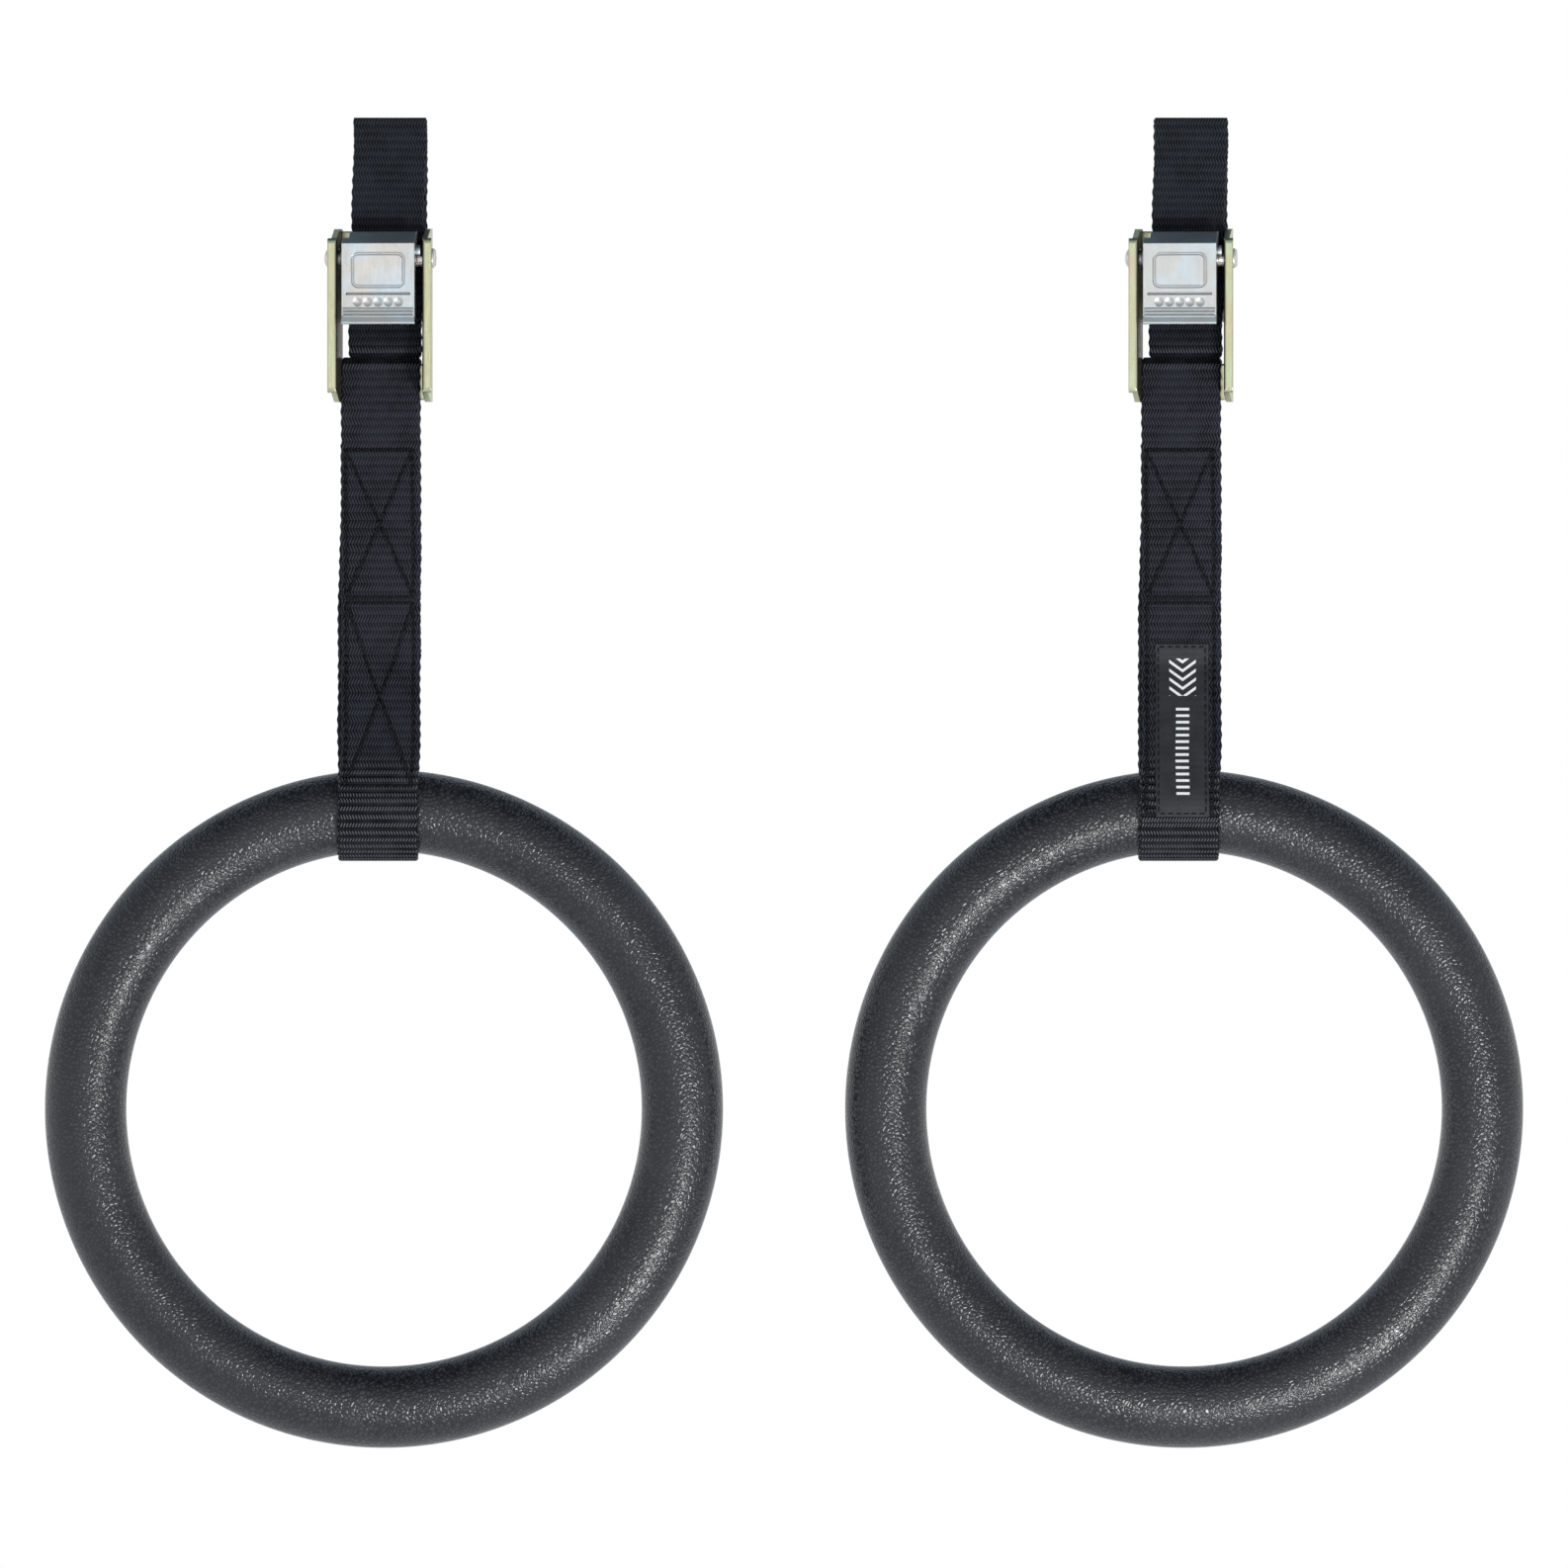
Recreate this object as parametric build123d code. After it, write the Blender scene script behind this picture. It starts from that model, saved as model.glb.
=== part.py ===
from build123d import *

import os
from math import acos, atan2, cos, degrees, hypot, pi, radians, sin

# A pair of gymnastics rings. Millimetres, +Z up, +X to the right, the front faces -Y.
# The origin is midway between the two strap eyes, on the line of the bar that they hang on.

# Driving dimensions
PAIR_SPACING = 278.4  # between the centres of the two rings
RING_BORE = 179.2  # inside diameter of a ring
TUBE_R = 14.2  # half the thickness of the grip
RING_DROP = 336.9  # from the hanging bar down to a ring's centre
WALL = 3.5  # thickness of the moulded shells
RIB_COUNT = 12
RIB_T = 2.0
RIB_ROOT = 0.5  # how far the ribs run into the wall
TONGUE_T = 1.2
TONGUE_H = 2.0
FIT_GAP = 0.1

WEB_T = 1.6  # thickness of all the webbing
LONG_WEB_W = 25.4
RING_WEB_W = 28.0
PLY_GAP = 0.05

EYE_R = 6.05  # inside radius of the sewn eye
EYE_HALF_ANGLE = 75  # the eye's fixed arc, each side of straight up
JOIN_DROP = 19.0  # where the two legs of the eye meet
SEWN_END = 42.0  # lower end of the eye's returned ply
LOAD_END = 61.0  # where the loaded run becomes the free loop
BODY_BREAK = 0.6  # gap where one strap's drawing ends and the next begins

BUCKLE_X = 0.8  # the buckle's centre from its ring's centre
BUCKLE_YAW = -8.0
STRAP_SHIFT = 1.5  # the long strap lies to one side in the channel
SHEET = 2.0  # thickness of the buckle's frame
CHANNEL_W = 30.0  # between the walls
FLOOR_FRONT = -3.7
WALL_FRONT = -16.0
LIP_OUT = 1.3
LIP_T = 1.0
FRAME_TOP = -30.9
FLOOR_TOP = -31.6
LIP_TOP = -34.7
WINDOW_TOP = -63.3
BAR_TOP = -77.7
BAR_BOTTOM = -90.4
LIP_BOTTOM = -87.5
FRAME_BOTTOM = -91.1
TOP_CORNER_Y = -8.2  # the walls' upper and lower edges slope from here to the lips
BOTTOM_CORNER_Y = -8.6
WALL_CORNER_R = 2.4
FOLD_R = 0.8  # inside the folds between floor and walls
LIP_FOLD_R = 1.1
LIP_EDGE_R = 0.4
CROSS_EDGE_R = 0.85
SLOT_TOP = -37.8
SLOT_BOTTOM = -44.0
SLOT_W = 4.0

PIVOT_Y = -10.2
PIVOT_Z = -41.2
PIN_R = 3.0
PIN_HEAD_R = 4.65
PIN_HEAD_H = 3.2
PIN_STAKE_R = 3.45
PIN_STAKE_H = 1.9
PIN_CHAMFER = 0.6
PIN_NOTCH_W = 1.2
PIN_NOTCH_DEPTH = 0.8

PLATE_W = 25.6  # width of the lever's face plate
CAM_LEFT = -10.6
CAM_RIGHT = 11.8
CAM_R = 4.6
EAR_RIGHT = 14.5  # a rounded ear stands out beside the plate
EAR_R = 2.0
EAR_Y = -13.6
EAR_Z = -38.7
EAR_EDGE_R = 0.6
PLATE_BACK = -16.6
PLATE_FRONT = -18.8
LEVER_TOP = -32.0
LEVER_BOTTOM = -64.3
BEVEL_Z = -36.1  # below this the face is flat
BEVEL_TOP_Y = -14.2
FLARE = 1.1  # how far the lower edge kicks out
PLATE_BOTTOM_R = 0.7
PANEL_Z = (-51.6, -39.2)
PANEL_W = 18.9
PANEL_R = 2.6
PANEL_RIM = 1.0
PANEL_DEPTH = 0.35
GROOVE_Z = -53.6
GROOVE_R = 0.4
DIMPLE_COUNT = 5
DIMPLE_Z = -56.5
DIMPLE_R = 3.2
DIMPLE_PITCH = 3.6
DIMPLE_DEPTH = 0.45
RIDGES_Z = (-59.0, -60.2, -61.4)
RIDGE_R = 0.45
PLATE_ROOT_Z = -46.5  # above this the plate thickens towards the cam
PLATE_ROOT_TOP = (-12.6, -38.0)
PLATE_TOP_BACK_Y = -12.2
NOSE_Z = (-38.9, -35.0)  # the end of the cam that bites the strap
CAM_CROWN = ((-13.6, -32.3), (-8.4, -33.4))
CAM_FOOT = (-13.0, -45.0)
CAM_FOOT_Z = -47.5  # where the cam's lower edge meets the plate
CAM_INTO_PLATE = 0.2
TOOTH_COUNT = 3
TOOTH_PITCH = 1.2
TOOTH_DEPTH = 0.7
TOOTH_W = 1.0

SPRING_WIRE_R = 0.45
SPRING_R = 3.95
SPRING_FULL_TURNS = 3
SPRING_LEFT = -13.95
SPRING_RIGHT = -11.7
SPRING_HOOK_DEPTH = 0.9  # the fixed leg's end, behind the floor
SPRING_PUSH_DROP = 12.0  # the moving leg's end, below the pin

LOOP_BOTTOM = -75.0  # lowest point of the long strap's free loop
TAIL_BEND = -33.0  # where the tail leans out over the lever's top
TAIL_TOP = 7.6
TAIL_TOP_Y = -11.6
TAIL_BEND_R = 30.0

RING_WEB_X = -1.4
TWIST_Z = -97.7  # height of the break between bar loop and ring strap
INNER_PLY_TOP = -105.9
SPREAD_Z = -182.0  # where the plies part to go round the grip
SPREAD_R = 40.0
CRADLE_R = 15.75
CRADLE_HALF_ANGLE = 60  # the cradle's arc, each side of straight down
LAP_GAP = 0.3  # between the cradle and a ply that lies outside it
FRONT_END_ANGLE = {"left": 0, "right": 193}  # where the outer front ply ends on the grip, 0 for no lap

LABEL_W = 18.6
LABEL_X = -0.9
LABEL_TOP = -175.1
LABEL_T = 0.4
LABEL_LIFT = 0.15  # from the ply under it
LABEL_END_ANGLE = 186.5

RING_R = RING_BORE / 2 + TUBE_R  # radius of the grip's centre line
TUBE_TOP_Z = -RING_DROP + RING_R  # height of the grip's centre at the top of the ring
FLOOR_BACK = FLOOR_FRONT + SHEET
LOAD_Y = FLOOR_BACK + FIT_GAP + WEB_T / 2  # mid plane of the loaded run
CAM_RUN_Y = FLOOR_FRONT - FIT_GAP - WEB_T / 2  # mid plane of the run under the cam
PLY = WEB_T + PLY_GAP
NOSE_Y = CAM_RUN_Y - WEB_T / 2 - FIT_GAP


def strip(lines, thickness, width, x=0.0):
    """A flat strip whose middle follows lines drawn as (y, z)."""
    outline = Plane.YZ * trace(lines, line_width=thickness)
    return Pos(x, 0, 0) * extrude(outline, amount=width / 2, both=True)


def polar(centre, radius, angle):
    return (centre[0] + radius * cos(radians(angle)), centre[1] + radius * sin(radians(angle)))


def tangent_angle(centre, radius, point, side):
    """The angle, seen from a circle's centre, where a line from point touches the circle."""
    dy = point[0] - centre[0]
    dz = point[1] - centre[1]
    half = degrees(acos(radius / hypot(dy, dz)))
    return degrees(atan2(dz, dy)) + side * half


def arc(centre, radius, start, end):
    return CenterArc(centre, radius, start, end - start)


def box(x, y, z):
    """A block between the low and high ends given for each axis."""
    middle = Pos((x[0] + x[1]) / 2, (y[0] + y[1]) / 2, (z[0] + z[1]) / 2)
    return middle * Box(x[1] - x[0], y[1] - y[0], z[1] - z[0])


def one_solid(shape):
    return shape.solids().sort_by(SortBy.VOLUME)[-1]


# Long strap


def strap_eye():
    mid = EYE_R + WEB_T / 2
    line = arc((0, 0), mid, 90 - EYE_HALF_ANGLE, 90 + EYE_HALF_ANGLE)
    return strip(line, WEB_T, LONG_WEB_W, BUCKLE_X + STRAP_SHIFT)


def eye_leg(y, side):
    """One leg of the eye, from where it touches the bar's circle down to the join."""
    mid = EYE_R + WEB_T / 2
    foot = (y, -JOIN_DROP)
    top = polar((0, 0), mid, tangent_angle((0, 0), mid, foot, side))
    return strip(Line(top, foot), WEB_T, LONG_WEB_W, BUCKLE_X + STRAP_SHIFT)


def long_strap():
    back = LOAD_Y + PLY
    legs = eye_leg(LOAD_Y, -1) + eye_leg(back, 1)
    lap = 1.5
    load = strip(Line((LOAD_Y, -JOIN_DROP + lap), (LOAD_Y, -LOAD_END)), WEB_T, LONG_WEB_W, STRAP_SHIFT)
    returned = strip(Line((back, -JOIN_DROP + lap), (back, -SEWN_END)), PLY + PLY_GAP, LONG_WEB_W, STRAP_SHIFT)
    return one_solid(legs + buckle_seat() * (load + returned))


def strap_tail():
    """The free loop in the window, the run under the cam and the tail."""
    turn_r = (LOAD_Y - CAM_RUN_Y) / 2
    turn_y = (LOAD_Y + CAM_RUN_Y) / 2
    turn_z = LOOP_BOTTOM + WEB_T / 2 + turn_r
    down = Line((LOAD_Y, -LOAD_END - BODY_BREAK), (LOAD_Y, turn_z))
    turn = arc((turn_y, turn_z), turn_r, 0, -180)
    corners = [(CAM_RUN_Y, turn_z), (CAM_RUN_Y, TAIL_BEND), (TAIL_TOP_Y, TAIL_TOP)]
    up = FilletPolyline(*corners, radius=TAIL_BEND_R)
    return strip(down + turn + up, WEB_T, LONG_WEB_W, STRAP_SHIFT)


# Buckle, drawn square to its own axes


def buckle_seat():
    """Where the buckle and the webbing in it sit, from their ring's own axes."""
    return Pos(BUCKLE_X, 0, 0) * Rot(0, 0, BUCKLE_YAW)


def channel_section():
    """The folded sheet seen from above: floor, two walls and their outward lips."""
    half = CHANNEL_W / 2
    outer = half + SHEET
    tip = outer + LIP_OUT
    right = [
        (0, FLOOR_BACK),
        (outer, FLOOR_BACK),
        (outer, WALL_FRONT + LIP_T),
        (tip, WALL_FRONT + LIP_T),
        (tip, WALL_FRONT),
        (half, WALL_FRONT),
        (half, FLOOR_FRONT),
        (0, FLOOR_FRONT),
    ]
    left = [(-x, y) for x, y in reversed(right[1:-1])]
    face = make_face(Polyline(*right, *left, close=True))
    corners = face.vertices()
    bends = [v for v in corners if abs(abs(v.X) - outer) < 0.01 and abs(v.Y - FLOOR_BACK) < 0.01]
    insides = [v for v in corners if abs(abs(v.X) - half) < 0.01 and abs(v.Y - FLOOR_FRONT) < 0.01]
    rounds = [v for v in corners if abs(abs(v.X) - half) < 0.01 and abs(v.Y - WALL_FRONT) < 0.01]
    tips = [v for v in corners if abs(abs(v.X) - tip) < 0.01]
    face = fillet(bends, SHEET + FOLD_R)
    face = fillet(nearest(face, insides), FOLD_R)
    face = fillet(nearest(face, rounds), LIP_FOLD_R)
    return fillet(nearest(face, tips), LIP_EDGE_R)


def nearest(face, points):
    """The face's own corners at the places of some earlier ones."""
    return [face.vertices().sort_by_distance(p)[0] for p in points]


def side_outline():
    """The wall seen from the side, as (y, z)."""
    back = FLOOR_BACK + 1
    outline = Polyline(
        (back, FRAME_TOP),
        (TOP_CORNER_Y, FRAME_TOP),
        (WALL_FRONT, LIP_TOP),
        (WALL_FRONT, LIP_BOTTOM),
        (BOTTOM_CORNER_Y, FRAME_BOTTOM),
        (back, FRAME_BOTTOM),
        close=True,
    )
    face = make_face(outline)
    corners = [v for v in face.vertices() if v.X < FLOOR_FRONT]
    return fillet(corners, WALL_CORNER_R)


def cross_piece(low, high):
    """A round-edged piece of the floor, from wall to wall."""
    section = RectangleRounded(SHEET, high - low, CROSS_EDGE_R)
    place = Pos(0, (FLOOR_FRONT + FLOOR_BACK) / 2, (low + high) / 2)
    into_wall = 0.2
    return place * extrude(Plane.YZ * section, amount=CHANNEL_W / 2 + into_wall, both=True)


def buckle_frame():
    height = FRAME_TOP - FRAME_BOTTOM
    body = Pos(0, 0, FRAME_BOTTOM) * extrude(channel_section(), amount=height)
    body &= extrude(Plane.YZ * side_outline(), amount=CHANNEL_W, both=True)
    half = CHANNEL_W / 2
    through = (FLOOR_FRONT - 1, FLOOR_BACK + 1)
    body -= box((-half, half), through, (FRAME_BOTTOM - 1, FRAME_TOP + 1))
    body += cross_piece(WINDOW_TOP, FLOOR_TOP)
    body += cross_piece(BAR_BOTTOM, BAR_TOP)
    for side in (-1, 1):
        slot = Pos(side * (half - SLOT_W / 2), 0, (SLOT_BOTTOM + SLOT_TOP) / 2)
        body -= slot * Box(SLOT_W, 4 * SHEET, SLOT_TOP - SLOT_BOTTOM)
    bore = Pos(0, PIVOT_Y, PIVOT_Z) * Rot(0, 90, 0) * Cylinder(PIN_R, CHANNEL_W * 2)
    return one_solid(body - bore)


def pivot_pin():
    """A rivet along X: domed head on the left, staked end on the right."""
    wall = CHANNEL_W / 2 + SHEET
    shaft = Cylinder(PIN_R, 2 * wall)
    head_r = (PIN_HEAD_R**2 + PIN_HEAD_H**2) / (2 * PIN_HEAD_H)
    dome = Pos(0, 0, -wall - PIN_HEAD_H + head_r) * Sphere(head_r)
    dome &= Pos(0, 0, -wall - PIN_HEAD_H / 2) * Cylinder(PIN_HEAD_R, PIN_HEAD_H)
    stake = Pos(0, 0, wall + PIN_STAKE_H / 2) * Cylinder(PIN_STAKE_R, PIN_STAKE_H)
    stake = chamfer(stake.faces().sort_by(Axis.Z)[-1].edges(), PIN_CHAMFER)
    notch = Pos(0, 0, wall + PIN_STAKE_H) * Box(4 * PIN_R, PIN_NOTCH_W, 2 * PIN_NOTCH_DEPTH)
    pin = shaft + dome + (stake - notch)
    return Pos(0, PIVOT_Y, PIVOT_Z) * Rot(0, 90, 0) * pin


# Cam lever


def plate_outline():
    """The lever's face plate seen from the side, bevelled at the top and kicked out below."""
    return Polyline(
        (BEVEL_TOP_Y, LEVER_TOP),
        (PLATE_FRONT, BEVEL_Z),
        (PLATE_FRONT, RIDGES_Z[2]),
        (PLATE_FRONT - FLARE, LEVER_BOTTOM),
        (PLATE_BACK - FLARE, LEVER_BOTTOM),
        (PLATE_BACK, RIDGES_Z[2]),
        (PLATE_BACK, PLATE_ROOT_Z),
        PLATE_ROOT_TOP,
        (PLATE_TOP_BACK_Y, LEVER_TOP),
        close=True,
    )


def cam_outline():
    """The cam behind the plate: a boss round the pin with a nose that bites the strap."""
    front = PLATE_BACK - CAM_INTO_PLATE
    return Polyline(
        *CAM_CROWN,
        (NOSE_Y, NOSE_Z[1]),
        (NOSE_Y, NOSE_Z[0]),
        (PIVOT_Y + CAM_R, PIVOT_Z),
        (PIVOT_Y, PIVOT_Z),
        CAM_FOOT,
        (front, CAM_FOOT_Z),
        (front, BEVEL_Z),
        close=True,
    )


def between(outline, left, right):
    face = Plane.YZ * make_face(outline)
    return Pos(left, 0, 0) * extrude(face, amount=right - left)


def lever_relief():
    """What is cut from the lever's front: a panel's sunk outline, a groove and finger dimples."""
    low, high = PANEL_Z
    panel = box(
        (-PANEL_W / 2, PANEL_W / 2), (PLATE_FRONT - 1, PLATE_FRONT + PANEL_DEPTH), (low, high)
    )
    panel = fillet(panel.edges().filter_by(Axis.Y), PANEL_R)
    half = PANEL_W / 2 - PANEL_RIM
    deep = (PLATE_FRONT - 2, PLATE_FRONT + 1)
    field = box((-half, half), deep, (low + PANEL_RIM, high - PANEL_RIM))
    field = fillet(field.edges().filter_by(Axis.Y), PANEL_R - PANEL_RIM)
    cut = panel - field
    cut += Pos(0, PLATE_FRONT, GROOVE_Z) * Rot(0, 90, 0) * Cylinder(GROOVE_R, PLATE_W - 3)
    for i in range(DIMPLE_COUNT):
        x = (i - (DIMPLE_COUNT - 1) / 2) * DIMPLE_PITCH
        cut += Pos(x, PLATE_FRONT - DIMPLE_R + DIMPLE_DEPTH, DIMPLE_Z) * Sphere(DIMPLE_R)
    return cut


def cam_teeth():
    """Vee notches along the nose."""
    notches = []
    middle = (NOSE_Z[0] + NOSE_Z[1]) / 2
    for i in range(TOOTH_COUNT):
        z = middle + (i - (TOOTH_COUNT - 1) / 2) * TOOTH_PITCH
        vee = Polyline(
            (NOSE_Y + FIT_GAP, z + TOOTH_W / 2),
            (NOSE_Y + FIT_GAP, z - TOOTH_W / 2),
            (NOSE_Y - TOOTH_DEPTH, z),
            close=True,
        )
        notches.append(between(vee, CAM_LEFT - 1, CAM_RIGHT + 1))
    return notches


def cam_lever():
    plate = between(plate_outline(), -PLATE_W / 2, PLATE_W / 2)
    plate = fillet(plate.edges().filter_by(Axis.X).group_by(Axis.Z)[0], PLATE_BOTTOM_R)
    plate -= box((-PLATE_W, CAM_LEFT), (PLATE_BACK, 0), (LEVER_BOTTOM, LEVER_TOP + 1))
    cam = between(cam_outline(), CAM_LEFT, CAM_RIGHT)
    boss = Pos((CAM_LEFT + CAM_RIGHT) / 2, PIVOT_Y, PIVOT_Z) * Rot(0, 90, 0)
    cam += boss * Cylinder(CAM_R, CAM_RIGHT - CAM_LEFT)
    ear = Pos(EAR_RIGHT - (EAR_RIGHT - CAM_LEFT) / 4, EAR_Y, EAR_Z) * Rot(0, 90, 0)
    ear *= Cylinder(EAR_R, (EAR_RIGHT - CAM_LEFT) / 2)
    ear = fillet(ear.faces().sort_by(Axis.X)[-1].edges(), EAR_EDGE_R)
    lever = plate + cam + ear
    for notch in cam_teeth():
        lever -= notch
    lever -= lever_relief()
    for z in RIDGES_Z:
        lever += Pos(0, PLATE_FRONT + FIT_GAP, z) * Rot(0, 90, 0) * Cylinder(RIDGE_R, PLATE_W - 1)
    lever -= boss * Cylinder(PIN_R + FIT_GAP / 2, 3 * PLATE_W)
    return one_solid(lever)


def torsion_spring():
    """Turns round the pin, one leg through the floor's slot and one behind the face plate."""
    hook = (FLOOR_BACK + SPRING_HOOK_DEPTH - PIVOT_Y, 0.0)
    push = (PLATE_BACK + SPRING_WIRE_R + 1.5 * FIT_GAP - PIVOT_Y, -SPRING_PUSH_DROP)
    start = tangent_angle((0, 0), SPRING_R, hook, 1)
    end = tangent_angle((0, 0), SPRING_R, push, -1)
    turns = (end - start) / 360 + SPRING_FULL_TURNS
    length = SPRING_RIGHT - SPRING_LEFT
    helix = Helix(length / turns, length, SPRING_R)
    coil = Rot(start + 90, 0, 0) * Rot(0, 90, 0) * helix  # the turned helix begins straight down
    leg_in = Line((coil @ 0) - (coil % 0) * tangent_length(hook), coil @ 0)
    leg_out = Line(coil @ 1, (coil @ 1) + (coil % 1) * tangent_length(push))
    section = Plane(leg_in @ 0, z_dir=leg_in % 0) * Circle(SPRING_WIRE_R)
    wire = Wire([leg_in, *coil.edges(), leg_out])
    return Pos(SPRING_LEFT, PIVOT_Y, PIVOT_Z) * sweep(section, wire)


def tangent_length(point):
    """From a point beside the spring to where a line from it touches the coil."""
    return (hypot(*point) ** 2 - SPRING_R**2) ** 0.5


# Ring strap


def bar_loop():
    """The ring strap's fold over the buckle's crossbar."""
    inner = SHEET / 2 + FIT_GAP
    mid = inner + WEB_T / 2
    y = (FLOOR_FRONT + FLOOR_BACK) / 2
    z = BAR_TOP + PLY_GAP - inner
    end = TWIST_Z + BODY_BREAK / 2
    lines = Line((y - mid, end), (y - mid, z)) + arc((y, z), mid, 180, 0)
    lines += Line((y + mid, z), (y + mid, end))
    return strip(lines, WEB_T, RING_WEB_W, 0)


def tube_centre():
    return (0, TUBE_TOP_Z)


def ply_line(y, top, radius, side):
    """A ply's middle, straight down to where the plies part, then straight to the grip's loop."""
    knee = (y, SPREAD_Z)
    touch = tangent_angle(tube_centre(), radius, knee, side)
    return FilletPolyline((y, top), knee, polar(tube_centre(), radius, touch), radius=SPREAD_R)


def ring_strap(front_end):
    """The stitched stack of three plies. The outer front one may run on down the grip's front."""
    middle = (FLOOR_FRONT + FLOOR_BACK) / 2
    inner_r = CRADLE_R + WEB_T / 2
    outer_r = inner_r + PLY + LAP_GAP
    top = TWIST_Z - BODY_BREAK / 2
    outer_front = ply_line(middle - PLY, top, outer_r, 1)
    touch = tangent_angle(tube_centre(), outer_r, (middle - PLY, SPREAD_Z), 1)
    if front_end > touch:
        outer_front += arc(tube_centre(), outer_r, touch, front_end)
    inner_front = ply_line(middle, INNER_PLY_TOP, inner_r, 1)
    back = ply_line(middle + PLY, top, inner_r, -1)
    sewn_t = PLY + PLY_GAP / 2  # the stitches pull the plies together
    stack = strip(outer_front, sewn_t, RING_WEB_W, RING_WEB_X)
    for line in (inner_front, back):
        stack += strip(line, sewn_t, RING_WEB_W, RING_WEB_X)
    return one_solid(stack)


def strap_cradle():
    mid = CRADLE_R + WEB_T / 2
    line = arc(tube_centre(), mid, 270 - CRADLE_HALF_ANGLE, 270 + CRADLE_HALF_ANGLE)
    return strip(line, WEB_T, RING_WEB_W, RING_WEB_X)


def strap_label():
    """A woven label sewn over the lower end of the front ply."""
    middle = (FLOOR_FRONT + FLOOR_BACK) / 2
    out = PLY / 2 + LABEL_LIFT + LABEL_T / 2
    radius = CRADLE_R + WEB_T / 2 + PLY + LAP_GAP + out
    knee = (middle - PLY - out, SPREAD_Z)
    touch = tangent_angle(tube_centre(), radius, knee, 1)
    end = polar(tube_centre(), radius, touch)
    straight = FilletPolyline((knee[0], LABEL_TOP), knee, end, radius=SPREAD_R - out)
    lines = straight + arc(tube_centre(), radius, touch, LABEL_END_ANGLE)
    return strip(lines, LABEL_T, LABEL_W, LABEL_X)


# Ring


def ring_place(shape):
    """A shape turned so that its Z axis runs along Y, at the ring's centre."""
    return Pos(0, 0, -RING_DROP) * Rot(90, 0, 0) * shape


def tongue(wall_middle, extra):
    """The raised rim along one wall of the parting face, or its groove if widened by extra."""
    ring = Cylinder(wall_middle + TONGUE_T / 2 + extra, TONGUE_H + extra)
    ring -= Cylinder(wall_middle - TONGUE_T / 2 - extra, TONGUE_H + extra)
    return Pos(0, 0, -(TONGUE_H + extra) / 2) * ring


def half_shell(front):
    """Half of the hollow ring. Z here points to the front."""
    hollow_r = TUBE_R - WALL
    shell = Torus(RING_R, TUBE_R) - Torus(RING_R, hollow_r)
    reach = 2 * RING_R
    half = box((-reach, reach), (-reach, reach), (0, RING_R) if front else (-RING_R, 0))
    shell &= half
    ribs = []
    for i in range(RIB_COUNT):
        plate = Pos(RING_R, 0, 0) * Rot(90, 0, 0) * Cylinder(hollow_r + RIB_ROOT, RIB_T)
        ribs.append(Rot(0, 0, (i + 0.5) * 360 / RIB_COUNT) * plate & half)
    for rib in ribs:
        shell += rib
    for wall_middle in (RING_R - TUBE_R + WALL / 2, RING_R + TUBE_R - WALL / 2):
        if front:
            shell += tongue(wall_middle, 0)
        else:
            shell -= tongue(wall_middle, FIT_GAP)
    return ring_place(one_solid(shell))


# Everything, once for each side

SIDES = {"left": -PAIR_SPACING / 2, "right": PAIR_SPACING / 2}

ASSEMBLY = {
    "strap_eye": strap_eye(),
    "long_strap": long_strap(),
    "strap_tail": buckle_seat() * strap_tail(),
    "buckle_frame": buckle_seat() * buckle_frame(),
    "pivot_pin": buckle_seat() * pivot_pin(),
    "cam_lever": buckle_seat() * cam_lever(),
    "torsion_spring": buckle_seat() * torsion_spring(),
    "bar_loop": buckle_seat() * bar_loop(),
    "strap_cradle": strap_cradle(),
    "ring_front_half": half_shell(True),
    "ring_rear_half": half_shell(False),
}


def write(name, shape, x):
    export_step(Pos(x, 0, 0) * shape, f"parts/{name}.step")


os.makedirs("parts", exist_ok=True)
for side, x in SIDES.items():
    for piece, shape in ASSEMBLY.items():
        write(f"{side}_{piece}", shape, x)
    write(f"{side}_ring_strap", ring_strap(FRONT_END_ANGLE[side]), x)
write("right_label", strap_label(), SIDES["right"])
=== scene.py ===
import math

import bpy
import numpy as np
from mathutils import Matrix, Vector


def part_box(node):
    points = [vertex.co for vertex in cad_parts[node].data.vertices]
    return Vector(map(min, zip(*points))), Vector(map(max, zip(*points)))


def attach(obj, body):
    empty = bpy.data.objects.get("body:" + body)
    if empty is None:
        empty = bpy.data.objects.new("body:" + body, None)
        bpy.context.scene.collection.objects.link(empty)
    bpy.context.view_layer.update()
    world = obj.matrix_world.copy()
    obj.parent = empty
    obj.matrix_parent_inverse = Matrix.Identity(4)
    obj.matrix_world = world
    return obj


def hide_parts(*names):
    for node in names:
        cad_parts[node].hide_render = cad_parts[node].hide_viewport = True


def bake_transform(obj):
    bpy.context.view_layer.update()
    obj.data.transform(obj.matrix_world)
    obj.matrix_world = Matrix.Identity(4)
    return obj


# A pair of gymnastics rings in sewn webbing, hung from cam buckles on flat straps.
# Lengths are millimetres in the part's frame, and are turned into metres where a mesh is made.
# (y, z) routes and x are measured from the middle of each ring.

MM = 0.001
SIDES = ("left", "right")

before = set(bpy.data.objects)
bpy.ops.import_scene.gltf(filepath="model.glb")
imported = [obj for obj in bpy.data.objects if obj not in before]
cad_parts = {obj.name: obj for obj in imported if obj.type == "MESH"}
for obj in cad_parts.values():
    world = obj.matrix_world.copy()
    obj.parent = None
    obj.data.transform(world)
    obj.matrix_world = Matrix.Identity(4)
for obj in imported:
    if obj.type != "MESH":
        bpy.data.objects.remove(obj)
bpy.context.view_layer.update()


def box_mm(node):
    """The lowest and highest corner of a node's box, in millimetres."""
    low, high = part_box(node)
    return np.array(low) / MM, np.array(high) / MM


# ---------------------------------------------------------------- sizes

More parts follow.
